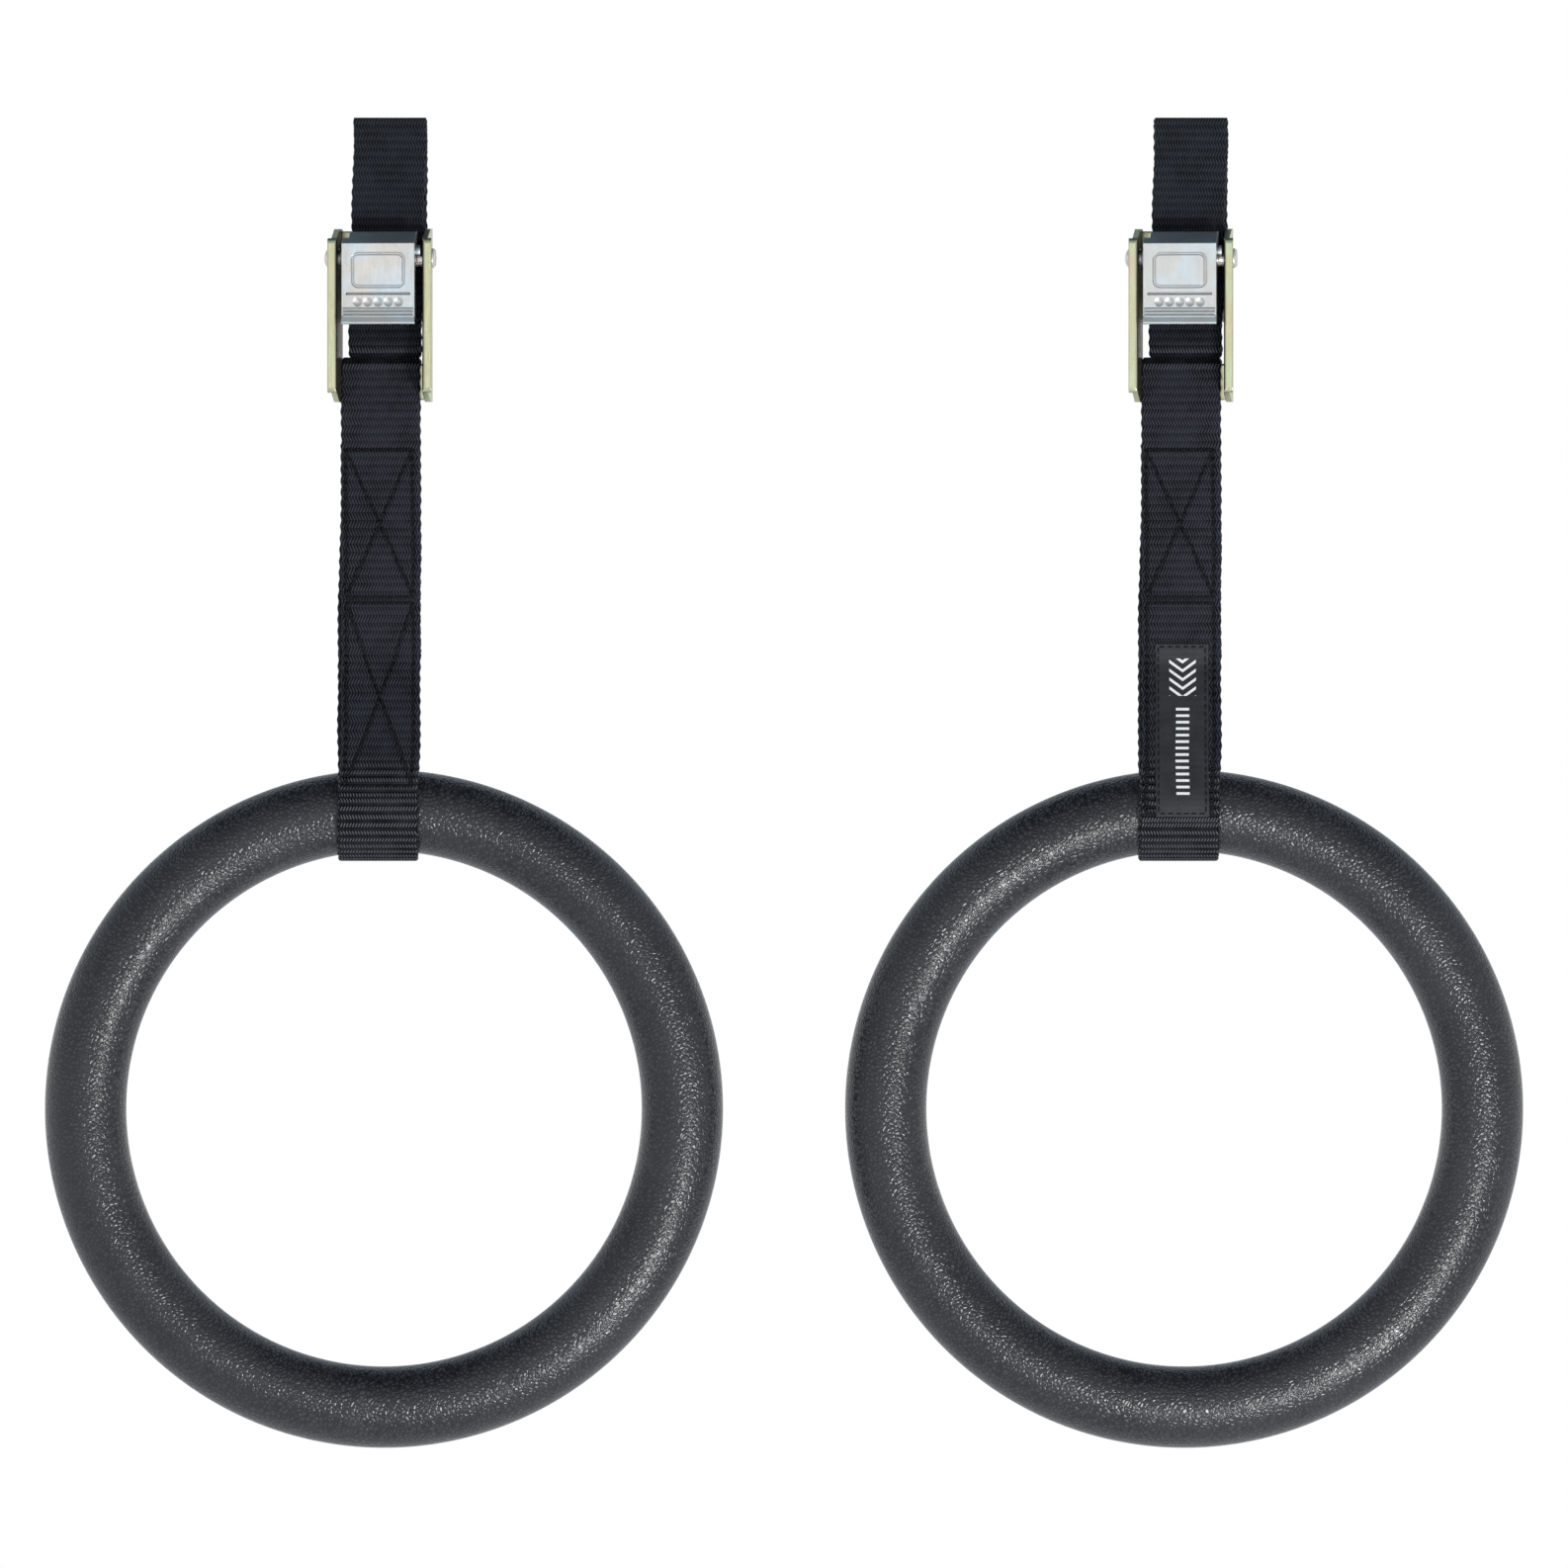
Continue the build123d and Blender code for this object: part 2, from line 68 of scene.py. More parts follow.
RING_LOW, RING_HIGH = box_mm("left_ring_rear_half")
TUBE_R = RING_HIGH[1]
RING_R = (RING_HIGH[0] - RING_LOW[0]) / 2 - TUBE_R
RING_Z = (RING_HIGH[2] + RING_LOW[2]) / 2
GRIP = (0.0, RING_Z + RING_R)  # (y, z) of the grip's centre where the strap goes round it

WEB_T = 1.6
PLY = 1.65  # from one stitched ply's middle to the next
LONG_WEB_W = 25.4
RING_WEB_W = 27.6
ROW = 2.75  # pitch of the weave's cross ribs
COLUMN = 1.03  # pitch of its lengthwise yarns
EDGE_PITCH = 4.05  # pitch of the loops along a selvedge
EDGE_DEPTH = 0.17
SEAM_REACH = 0.6  # how far to each side a seam draws the webbing in
SEAM_DEPTH = 0.32
FLAT_RIB = 0.15  # height of the cross ribs where a strap lies flat
OPEN_RIB = 0.42  # and where it bends tightly or goes round the grip
OPEN_AT_GRIP = (213.0, 222.0)  # depths over which the grip takes hold

BUCKLE_X = 0.8
BUCKLE_YAW = math.radians(-8.0)
LONG_WEB_X = 1.5  # how far the long strap's middle lies to the right of the buckle's
EYE_R = box_mm("left_strap_eye")[1][2] - WEB_T / 2
LOAD_Y = -0.8
CAM_RUN_Y = -4.6
BAR_Y = (LOAD_Y + CAM_RUN_Y) / 2
LOOP_R = (LOAD_Y - CAM_RUN_Y) / 2
EYE_JOIN_Z = -19.0
SEWN_END_Z = -42.0
LOAD_SEAM_Z = -44.5  # where the load run passes from the strap's piece to the buckle's
LOOP_SEAM_Z = -61.5
TURN_Z = -72.6
TAIL_BEND_Z = -33.0
TAIL_TOP_Y, TAIL_TOP_Z = -11.6, 7.6
BAR_LOOP_Z = -78.4
STACK_TOP_Z = -98.0
STRAIGHT_Z = STACK_TOP_Z + 3  # above it the two legs run straight up to the crossbar
INNER_PLY_TOP_Z = -105.9
SEAM_Z = -178.0  # where the ring strap passes from the buckle's piece to the grip's
SPREAD_Z = -182.0  # where its plies part to go round the grip
CRADLE_R = 16.55
LAP_R = CRADLE_R + PLY + 0.3
LAP_END = {"left": None, "right": 193.0}  # degrees round the grip, None where it only meets it

KNEE_EASE = 7.0  # how far the bend where the plies part is rounded

EYE_BOX_X = (-10.2, 10.2)  # the stitched box below the eye
EYE_BOX_Z = (-20.5, -40.0)
RING_SEAM_X = (-12.1, 11.3)  # the seams along the ring strap
BOX_Z = (-107.5, -158.5)  # the upper box on the ring strap
NEXT_BOX_Z = -160.5  # where the one below it starts
GRIP_SEAM_Z = -221.0  # the row across the plies above the grip
SEAM_START = 0.8  # how far below SEAM_Z the seams take up again
LAP_HEM = 3.5  # from the lap's end to its last row of stitches
TACK_LENGTH = 17.0  # the zigzag bars at the right lap's end
TACK_W = 2.6
TACK_INSET = 0.4  # from the seam beside it to the middle of a bar

LABEL_W = 18.6
LABEL_X = -0.9
LABEL_TOP_Z = -175.1
LABEL_T = 0.4
LABEL_LIFT = PLY / 2 + 0.15 + LABEL_T / 2  # from the lap's middle to the label's
LABEL_END = 186.5  # degrees round the grip
LABEL_HEM = 1.1


def ring_x(side):
    """The x of the middle of one side's ring."""
    low, high = box_mm(f"{side}_ring_rear_half")
    return (low[0] + high[0]) / 2


def smooth(value, low, high):
    """0 up to low, 1 from high on, and an even rise between."""
    t = np.clip((np.asarray(value, float) - low) / (high - low), 0, 1)
    return t * t * (3 - 2 * t)


def turned(x, y, angle):
    """Where a point goes when it's turned about the vertical."""
    return x * np.cos(angle) - y * np.sin(angle), x * np.sin(angle) + y * np.cos(angle)


def distances(line):
    """How far along a line each of its points is."""
    return np.concatenate([[0], np.cumsum(np.linalg.norm(np.diff(line, axis=0), axis=1))])


def directions(line):
    """The unit direction of a line at each of its points."""
    ahead = np.gradient(line, axis=0)
    return ahead / np.linalg.norm(ahead, axis=1)[:, None]


# ---------------------------------------------------------------- camera, light and floor

LENS = 600.0
SENSOR = 36.0
VIEW_W = 545.6  # width of the view where the rings hang
VIEW_Z = -223.9  # height of its middle
FLOOR_Z = -1000.0
FLOOR_HALF = 14000.0
FLOOR_GLOW = 0.42

# The surroundings' colour by direction: 0 is straight down, 0.5 level and 1 straight up.
SURROUNDINGS = [
    (0.0, (0.11, 0.12, 0.14)),
    (0.36, (0.16, 0.17, 0.19)),
    (0.44, (1.0, 1.0, 1.0)),
    (0.56, (1.0, 1.0, 1.0)),
    (0.66, (0.48, 0.54, 0.60)),
    (0.83, (0.66, 0.75, 0.84)),
    (0.92, (0.07, 0.10, 0.13)),
    (1.0, (0.06, 0.09, 0.12)),
]


def make_camera():
    data = bpy.data.cameras.new("camera")
    data.lens = LENS
    data.sensor_width = SENSOR
    camera = bpy.data.objects.new("camera", data)
    camera.location = (0, -VIEW_W * LENS / SENSOR * MM, VIEW_Z * MM)
    camera.rotation_euler = (math.radians(90), 0, 0)
    bpy.context.scene.collection.objects.link(camera)
    bpy.context.scene.camera = camera


def soft_box(name, towards, distance, size, watts):
    """A square light that stands off from the part's middle in one direction and faces it."""
    aim = np.array([0, 0, VIEW_Z])
    direction = np.array(towards) / np.linalg.norm(towards)
    data = bpy.data.lights.new(name, "AREA")
    data.size = size * MM
    data.energy = watts
    light = bpy.data.objects.new(name, data)
    place = aim + direction * distance
    light.location = place * MM
    light.rotation_euler = Vector(direction).to_track_quat("Z", "Y").to_euler()
    light.visible_camera = False
    bpy.context.scene.collection.objects.link(light)


def make_world():
    """Bright walls below a bluish upper part, with a dark ceiling and a dark floor."""
    world = bpy.data.worlds.new("studio")
    world.use_nodes = True
    nodes, links = world.node_tree.nodes, world.node_tree.links
    place = nodes.new("ShaderNodeTexCoord")
    split = nodes.new("ShaderNodeSeparateXYZ")
    ramp = nodes.new("ShaderNodeValToRGB")
    links.new(place.outputs["Generated"], split.inputs[0])
    height = nodes.new("ShaderNodeMapRange")
    height.inputs["From Min"].default_value = -1.0
    links.new(split.outputs["Z"], height.inputs["Value"])
    links.new(height.outputs[0], ramp.inputs[0])
    links.new(ramp.outputs[0], nodes["Background"].inputs[0])
    for at, _ in SURROUNDINGS[1:-1]:
        ramp.color_ramp.elements.new(at)
    for element, (at, colour) in zip(ramp.color_ramp.elements, SURROUNDINGS):
        element.position = at
        element.color = (*colour, 1)
    bpy.context.scene.world = world
    bpy.context.scene.view_settings.view_transform = "Standard"


def make_floor():
    half = FLOOR_HALF * MM
    data = bpy.data.meshes.new("floor")
    corners = [(-half, -half), (half, -half), (half, half), (-half, half)]
    data.from_pydata([(x, y, FLOOR_Z * MM) for x, y in corners], [], [(0, 1, 2, 3)])
    floor = bpy.data.objects.new("floor", data)
    bpy.context.scene.collection.objects.link(floor)
    shader = Shader("pale_floor", {"Base Color": (0.86, 0.86, 0.87, 1), "Roughness": 0.8})
    shader.set({"Emission Color": (1, 1, 1, 1), "Emission Strength": FLOOR_GLOW})
    data.materials.append(shader.material)


# ---------------------------------------------------------------- shader building


class Shader:
    """A principled material, and short ways to add the nodes that vary it."""

    def __init__(self, name, values):
        self.material = bpy.data.materials.new(name)
        self.material.use_nodes = True
        self.tree = self.material.node_tree
        self.surface = self.tree.nodes["Principled BSDF"]
        self.set(values)

    def set(self, values):
        for name, value in values.items():
            self.feed(self.surface.inputs[name], value)

    def feed(self, socket, value):
        if isinstance(value, bpy.types.NodeSocket):
            self.tree.links.new(value, socket)
        else:
            socket.default_value = value

    def node(self, kind, inputs, **settings):
        made = self.tree.nodes.new("ShaderNode" + kind)
        for name, value in settings.items():
            setattr(made, name, value)
        for name, value in inputs.items():
            self.feed(made.inputs[name], value)
        return made

    def math(self, operation, *values):
        made = self.tree.nodes.new("ShaderNodeMath")
        made.operation = operation
        for socket, value in zip(made.inputs, values):
            self.feed(socket, value)
        return made.outputs[0]

    def add(self, a, b):
        return self.math("ADD", a, b)

    def times(self, a, b):
        return self.math("MULTIPLY", a, b)

    def spread(self, value, low, high, to_low=0.0, to_high=1.0):
        """Value's range from low to high becomes to_low to to_high, smoothly."""
        inputs = {"Value": value, "From Min": low, "From Max": high}
        inputs.update({"To Min": to_low, "To Max": to_high})
        return self.node("MapRange", inputs, interpolation_type="SMOOTHSTEP").outputs[0]

    def mix_value(self, share, a, b):
        """A where share is 0, b where it is 1."""
        return self.add(self.times(a, self.math("SUBTRACT", 1.0, share)), self.times(b, share))

    def mix(self, share, a, b):
        """Colour a where share is 0, b where it is 1. Sockets 6, 7 and 2 are the node's colours."""
        made = self.tree.nodes.new("ShaderNodeMix")
        made.data_type = "RGBA"
        self.feed(made.inputs[0], share)
        for socket, colour in ((made.inputs[6], a), (made.inputs[7], b)):
            self.feed(socket, (*colour, 1) if isinstance(colour, tuple) else colour)
        return made.outputs[2]

    def place(self):
        return self.node("TexCoord", {}).outputs["Object"]

    def attribute(self, name):
        return self.node("Attribute", {}, attribute_name=name).outputs["Vector"]

    def split(self, vector):
        return self.node("SeparateXYZ", {0: vector}).outputs

    def stretch(self, vector, scale):
        return self.node("Mapping", {"Vector": vector, "Scale": scale}).outputs[0]

    def noise(self, vector, scale, detail=2.0, roughness=0.5):
        inputs = {"Vector": vector, "Scale": scale, "Detail": detail, "Roughness": roughness}
        return self.node("TexNoise", inputs).outputs["Fac"]

    def bump(self, height, depth, normal=None):
        """Surface relief of that depth in millimetres."""
        inputs = {"Height": height, "Distance": depth * MM}
        if normal is not None:
            inputs["Normal"] = normal
        return self.node("Bump", inputs).outputs[0]


# ---------------------------------------------------------------- materials

YARN_SLANT = 0.42
CREST_HIGHLIGHT = (0.12, 0.125, 0.14)  # painted highlight on the yarn's crests where the rows stand open
LINT = (0.06, 0.064, 0.07)
SATIN_RIB = 0.42  # pitch of the label's fine ribs
SATIN_DARK, SATIN_LIGHT = (0.005, 0.0052, 0.0066), (0.012, 0.0124, 0.0145)
DEVICE = (0.66, 0.67, 0.68)
DEVICE_X = 0.2
DEVICE_SOFT = 0.12  # how soft the device's edges are
SCUFF = (0.085, 0.085, 0.09)
NOOK_SHADE = (0.04, 0.055, 0.07)  # painted shade on the metal in corners, out of the light
NOOK_REACH = 1.3
# painted shade on the faces of the frame's walls that look at each other
INNER_WALL_SHADE = (0.035, 0.028, 0.022)


def weave_relief(shader, along, across):
    """Herringbone: columns of yarn that lean one way in a row and the other way in the next."""
    zigzag = shader.math("PINGPONG", along, ROW)
    shifted = shader.add(across, shader.times(zigzag, YARN_SLANT))
    column = shader.math("SINE", shader.times(shifted, 2 * math.pi / COLUMN))
    column = shader.add(shader.times(column, 0.5), 0.5)
    row = shader.math("SINE", shader.times(along, math.pi / ROW))
    return shader.spread(column, 0.12, 0.85), shader.math("ABSOLUTE", row)


def webbing_material(name, dark, light):
    """Yarn and its fibres with painted shade between them, broad patches, lint, painted highlights
    on the crests in open rows, and painted shade along the seams.
    """
    shader = Shader(name, {"Specular IOR Level": 0.11})
    weave = shader.attribute("weave")
    across, along, layer = shader.split(weave)
    opened = shader.math("FRACT", layer)
    column, row = weave_relief(shader, along, across)
    closed_row = shader.spread(row, -0.35, 0.35)
    row = shader.mix_value(opened, closed_row, shader.spread(row, 0.35, 0.95))
    yarn = shader.times(column, row)
    fibres = shader.noise(shader.stretch(weave, (5.0, 1.2, 1.0)), 1.0, 3.0, 0.6)
    patches = shader.noise(weave, 0.09, 3.0, 0.6)
    lint = shader.noise(shader.stretch(weave, (0.9, 0.35, 1.0)), 1.0, 4.0, 0.75)
    share = shader.add(shader.times(yarn, 0.95), shader.times(fibres, 0.25))
    share = shader.add(share, shader.spread(patches, 0.3, 0.7, -0.22, 0.16))
    # darker between the yarns, lighter on them: partly the yarn's own tone, partly painted shade in
    # the gaps
    colour = shader.mix(share, dark, light)
    # painted highlight: the yarn's crests are lighter where the rows stand open
    crest_highlight = shader.times(opened, shader.spread(yarn, 0.55, 0.95))
    colour = shader.mix(shader.times(crest_highlight, 0.6), colour, CREST_HIGHLIGHT)
    colour = shader.mix(shader.spread(lint, 0.66, 0.85, 0.0, 0.22), colour, LINT)
    # painted shade: the webbing is darkened along the seams, where it puckers
    sewn = shader.node("Attribute", {}, attribute_name="sewn").outputs["Fac"]
    colour = shader.mix(shader.times(sewn, 0.75), colour, dark)
    height = shader.add(yarn, shader.times(fibres, 0.35))
    rough = shader.spread(fibres, 0.3, 0.7, 0.34, 0.50)
    shader.set({"Base Color": colour, "Roughness": rough, "Normal": shader.bump(height, 0.5)})
    return shader.material


def thread_material():
    """Bonded nylon sewing thread, twisted."""
    shader = Shader("sewing_thread", {"Roughness": 0.5, "Specular IOR Level": 0.16})
    weave = shader.attribute("weave")
    across, along, _ = shader.split(weave)
    turns = shader.add(shader.times(along, 9.0), across)
    twist = shader.add(shader.times(shader.math("SINE", turns), 0.5), 0.5)
    colour = shader.mix(twist, (0.0015, 0.0015, 0.002), (0.009, 0.009, 0.011))
    shader.set({"Base Color": colour, "Normal": shader.bump(twist, 0.06)})
    return shader.material


def label_material(length):
    """Black woven satin with a plain light device: chevrons above a ladder of short bars."""
    shader = Shader("label_satin", {"Specular IOR Level": 0.36})
    weave = shader.attribute("weave")
    across, along, _ = shader.split(weave)
    fine = shader.noise(shader.stretch(weave, (9.0, 1.6, 1.0)), 1.0, 3.0, 0.6)
    ribs = shader.math("SINE", shader.times(along, 2 * math.pi / SATIN_RIB))
    cloud = shader.noise(weave, 0.16, 3.0, 0.6)
    ground = shader.mix(shader.spread(cloud, 0.3, 0.7), SATIN_DARK, SATIN_LIGHT)
    centred = shader.math("ABSOLUTE", shader.add(across, -DEVICE_X))

    def within(value, half):
        return shader.spread(value, half - DEVICE_SOFT, half + DEVICE_SOFT, 1.0, 0.0)

    def bars(value, pitch, half, reach, low, high):
        """Bars at a pitch, as far out as reach, from low to high along the label."""
        marks = within(shader.math("PINGPONG", value, pitch / 2), half)
        middle = shader.math("ABSOLUTE", shader.add(along, -(low + high) / 2))
        marks = shader.times(marks, within(centred, reach))
        return shader.times(marks, within(middle, (high - low) / 2))

    slanted = shader.add(along, shader.times(centred, 0.75))
    chevron = bars(slanted, pitch=3.2, half=0.55, reach=4.6, low=5.2, high=0.30 * length)
    ladder = bars(along, pitch=2.35, half=0.45, reach=2.3, low=0.36 * length, high=0.88 * length)
    device = shader.math("MAXIMUM", chevron, ladder)
    colour = shader.mix(device, ground, DEVICE)
    height = shader.add(shader.times(ribs, 0.3), shader.add(fine, shader.times(device, 0.6)))
    rough = shader.spread(fine, 0.3, 0.7, 0.38, 0.56)
    shader.set({"Base Color": colour, "Roughness": rough, "Normal": shader.bump(height, 0.07)})
    return shader.material


def ring_material():
    """Hollow moulded plastic with a fine leather grain, its creases darkened by painted shade."""
    shader = Shader("ring_plastic", {"Specular IOR Level": 0.5, "IOR": 1.5})
    place = shader.place()
    warp = shader.noise(place, 420.0, 3.0, 0.6)
    bent = shader.node("VectorMath", {0: place}, operation="ADD")
    push = shader.node("VectorMath", {0: warp, "Scale": 0.0011}, operation="SCALE")
    shader.feed(bent.inputs[1], push.outputs[0])
    cells = {"Vector": bent.outputs[0], "Scale": 640.0}
    crease = shader.node("TexVoronoi", cells, feature="DISTANCE_TO_EDGE").outputs["Distance"]
    pebble = shader.spread(crease, 0.0, 0.34)
    fine = shader.noise(place, 1700.0, 3.0, 0.6)
    broad = shader.noise(place, 26.0, 3.0, 0.5)
    scuff = shader.noise(shader.stretch(place, (60.0, 60.0, 22.0)), 1.0, 5.0, 0.7)
    # painted shade: the grain's creases are darker than the plastic's own tone
    colour = shader.mix(pebble, (0.003, 0.003, 0.004), (0.024, 0.024, 0.027))
    colour = shader.mix(shader.spread(broad, 0.3, 0.7, 0.0, 0.35), colour, (0.028, 0.028, 0.031))
    colour = shader.mix(shader.spread(scuff, 0.62, 0.8, 0.0, 0.28), colour, SCUFF)
    worn = shader.spread(scuff, 0.5, 0.8, 0.0, 0.12)
    rough = shader.add(shader.spread(fine, 0.3, 0.7, 0.19, 0.28), worn)
    height = shader.add(pebble, shader.times(fine, 0.55))
    shader.set({"Base Color": colour, "Roughness": rough, "Normal": shader.bump(height, 0.118)})
    return shader.material


def inside_of_walls(shader, place, middle_x):
    """1 on the faces of the frame's walls that look at each other, 0 elsewhere."""
    across = shader.add(shader.split(place)[0], -middle_x * MM)
    facing = shader.split(shader.node("TexCoord", {}).outputs["Normal"])[0]
    inward = shader.times(shader.math("SIGN", across), facing)
    return shader.spread(inward, -0.75, -0.45, 1.0, 0.0)


def zinc_material(name, pale, tints, edge_r, rough, middle_x=None):
    """Zinc plate with a passivated film: clouds of tint, rolling marks and dull specks, with painted
    shade in corners.

    Where middle_x is given, the walls' faces that look at it get painted shade: they are dull and
    dark.
    """
    shader = Shader(name, {"Metallic": 1.0, "Specular IOR Level": 0.1})
    place = shader.place()
    clouds = shader.noise(place, 95.0, 4.0, 0.6)
    drift = shader.noise(place, 38.0, 3.0, 0.5)
    rolled = shader.noise(shader.stretch(place, (2600.0, 2600.0, 130.0)), 1.0, 3.0, 0.6)
    specks = shader.noise(place, 900.0, 3.0, 0.7)
    colour = shader.mix(shader.spread(clouds, 0.42, 0.66), pale, tints[0])
    colour = shader.mix(shader.spread(drift, 0.5, 0.72, 0.0, 0.8), colour, tints[1])
    colour = shader.mix(shader.spread(specks, 0.62, 0.8, 0.0, 0.45), colour, tints[2])
    lit = shader.node("AmbientOcclusion", {"Distance": NOOK_REACH * MM}, samples=6).outputs["AO"]
    # painted shade: darker where ambient occlusion finds corners
    colour = shader.mix(shader.spread(lit, 0.45, 0.97, 0.7, 0.0), colour, NOOK_SHADE)
    if middle_x is not None:
        wall_shade = inside_of_walls(shader, place, middle_x)
        # painted shade: the walls' inner faces are made dark and not metallic
        colour = shader.mix(wall_shade, colour, INNER_WALL_SHADE)
        shader.set({"Metallic": shader.math("SUBTRACT", 1.0, wall_shade)})
    roughness = shader.add(
        shader.spread(rolled, 0.3, 0.7, rough - 0.07, rough + 0.07),
        shader.spread(specks, 0.55, 0.8, 0.0, 0.2),
    )
    bevel = shader.node("Bevel", {"Radius": edge_r * MM}, samples=6).outputs[0]
    height = shader.add(rolled, shader.times(specks, 0.6))
    shader.set({"Base Color": colour, "Roughness": roughness})
    shader.set({"Normal": shader.bump(height, 0.018, bevel)})
    return shader.material


def wire_material():
    """Drawn spring steel."""
    shader = Shader("spring_wire", {"Metallic": 1.0})
    grain = shader.noise(shader.place(), 1500.0, 3.0, 0.6)
    shader.set({
        "Base Color": shader.mix(grain, (0.22, 0.21, 0.2), (0.5, 0.49, 0.47)),
        "Roughness": shader.spread(grain, 0.3, 0.7, 0.26, 0.42),
        "Normal": shader.bump(grain, 0.015),
    })
    return shader.material


# ---------------------------------------------------------------- mesh building

ODD_DIRECTION = (0.31, 0.87, 0.38)  # no tube starts off this way


def make_object(name, points, faces, material, smooth_faces=None, weave=None, sewn=None):
    """A mesh object. Only the first smooth_faces are shaded smooth, or all if that's None."""
    data = bpy.data.meshes.new(name)
    data.from_pydata((np.asarray(points) * MM).tolist(), [], faces)
    flags = np.ones(len(data.polygons), bool)
    if smooth_faces is not None:
        flags[smooth_faces:] = False
    data.polygons.foreach_set("use_smooth", flags)
    if weave is not None:
        attribute = data.attributes.new("weave", "FLOAT_VECTOR", "POINT")
        attribute.data.foreach_set("vector", np.asarray(weave, np.float32).ravel())
    if sewn is not None:
        attribute = data.attributes.new("sewn", "FLOAT", "POINT")
        attribute.data.foreach_set("value", np.asarray(sewn, np.float32).ravel())
    data.materials.append(material)
    data.update()
    made = bpy.data.objects.new(name, data)
    bpy.context.scene.collection.objects.link(made)
    return made


def grid_quads(rows, columns, closed=False):
    """Quads over a grid of points. Each row closes round, and the rows do too if closed."""
    row = np.arange(rows if closed else rows - 1)[:, None]
    column = np.arange(columns)[None, :]
    after_row, after = (row + 1) % rows, (column + 1) % columns
    corners = [row * columns + column, row * columns + after]
    corners += [after_row * columns + after, after_row * columns + column]
    return np.stack(corners, -1)


class Tubes:
    """Many round tubes gathered into one mesh."""

    def __init__(self, sides=8):
        self.sides = sides
        self.points, self.faces, self.weave = [], [], []
        self.count = 0

    def add(self, line, radii):
        line = np.asarray(line, float)
        radii = np.broadcast_to(radii, len(line))
        ahead = directions(line)
        across = np.cross(ahead[0], ODD_DIRECTION)
        angle = np.arange(self.sides) * 2 * math.pi / self.sides
        for point, direction, radius, along in zip(line, ahead, radii, distances(line)):
            across = across - direction * (across @ direction)
            across /= np.linalg.norm(across)
            other = np.cross(direction, across)
            ring = np.outer(np.cos(angle), across) + np.outer(np.sin(angle), other)
            self.points.append(point + ring * radius)
            self.weave.append(np.stack([angle, 0 * angle + along, 0 * angle], 1))
        self.add_faces(len(line))

    def add_faces(self, rows):
        """The tube's wall and its two flat ends."""
        first, last = self.count, self.count + (rows - 1) * self.sides
        self.faces += (grid_quads(rows, self.sides).reshape(-1, 4) + first).tolist()
        self.faces.append(list(range(first + self.sides - 1, first - 1, -1)))
        self.faces.append(list(range(last, last + self.sides)))
        self.count += rows * self.sides

    def object(self, name, material):
        points, weave = np.concatenate(self.points), np.concatenate(self.weave)
        return make_object(name, points, self.faces, material, weave=weave)


# ---------------------------------------------------------------- webbing routes

FINE = 0.1  # spacing of a route's points before it's eased
SAME_POINT = 1e-6
YAW_LOST = ((-175, -97), (-30, 2))  # heights where a strap turns out of the buckle's yaw
OPEN_CURVE = 0.15  # bend, in radians per millimetre, from which the rows open
OPEN_RISE = 10.0  # how fast they do beyond it
OPEN_BLUR = 12  # points to each side over which the opening fades
RIB_SHARPNESS = 0.8
CUPPING = 0.05
CUPPING_WAVE = 17.0
SELVEDGE = 14  # the higher, the closer to the edge the scallops stay
WANDER = 0.12
POINT_GAP = 0.7  # from point to point across a ply


def run(*corners):
    """Straight stretches, as closely spaced (y, z) points."""
    pieces = []
    for a, b in zip(corners, corners[1:]):
        count = max(2, int(math.dist(a, b) / FINE))
        share = np.linspace(0, 1, count)[:, None]
        pieces.append(np.array(a) * (1 - share) + np.array(b) * share)
    return np.concatenate(pieces)


def turn(centre, radius, start, end):
    """An arc round a centre, between two angles in degrees."""
    angle = np.radians(np.linspace(start, end, max(8, int(abs(end - start)))))
    return np.stack([centre[0] + radius * np.cos(angle), centre[1] + radius * np.sin(angle)], 1)


def touch(centre, radius, point, side):
    """The angle where a line from point meets the circle at a tangent."""
    dy, dz = point[0] - centre[0], point[1] - centre[1]
    half = math.degrees(math.acos(radius / math.hypot(dy, dz)))
    return math.degrees(math.atan2(dz, dy)) + side * half


def evenly(points, step):
    """The route as points about that far apart, and how far along it each one is."""
    moved = np.linalg.norm(np.diff(points, axis=0), axis=1) > SAME_POINT
    points = points[np.concatenate([[True], moved])]
    along = distances(points)
    wanted = np.linspace(0, along[-1], max(2, round(along[-1] / step)) + 1)
    return np.stack([np.interp(wanted, along, points[:, i]) for i in range(2)], 1), wanted


def eased(points, reach, step):
    """The route with its corners rounded over that reach. Its ends stay."""
    half = max(1, int(reach / step / 2))
    window = np.hanning(2 * half + 3)[1:-1]
    window /= window.sum()
    before = 2 * points[0] - points[half:0:-1]
    after = 2 * points[-1] - points[-2:-half - 2:-1]
    padded = np.concatenate([before, points, after])
    return np.stack([np.convolve(padded[:, i], window, "valid") for i in range(2)], 1)


def yaw_at(z):
    """The buckle's turn, which the straps lose above it and down to the grip."""
    below, above = YAW_LOST
    return BUCKLE_YAW * smooth(z, *below) * (1 - smooth(z, *above))


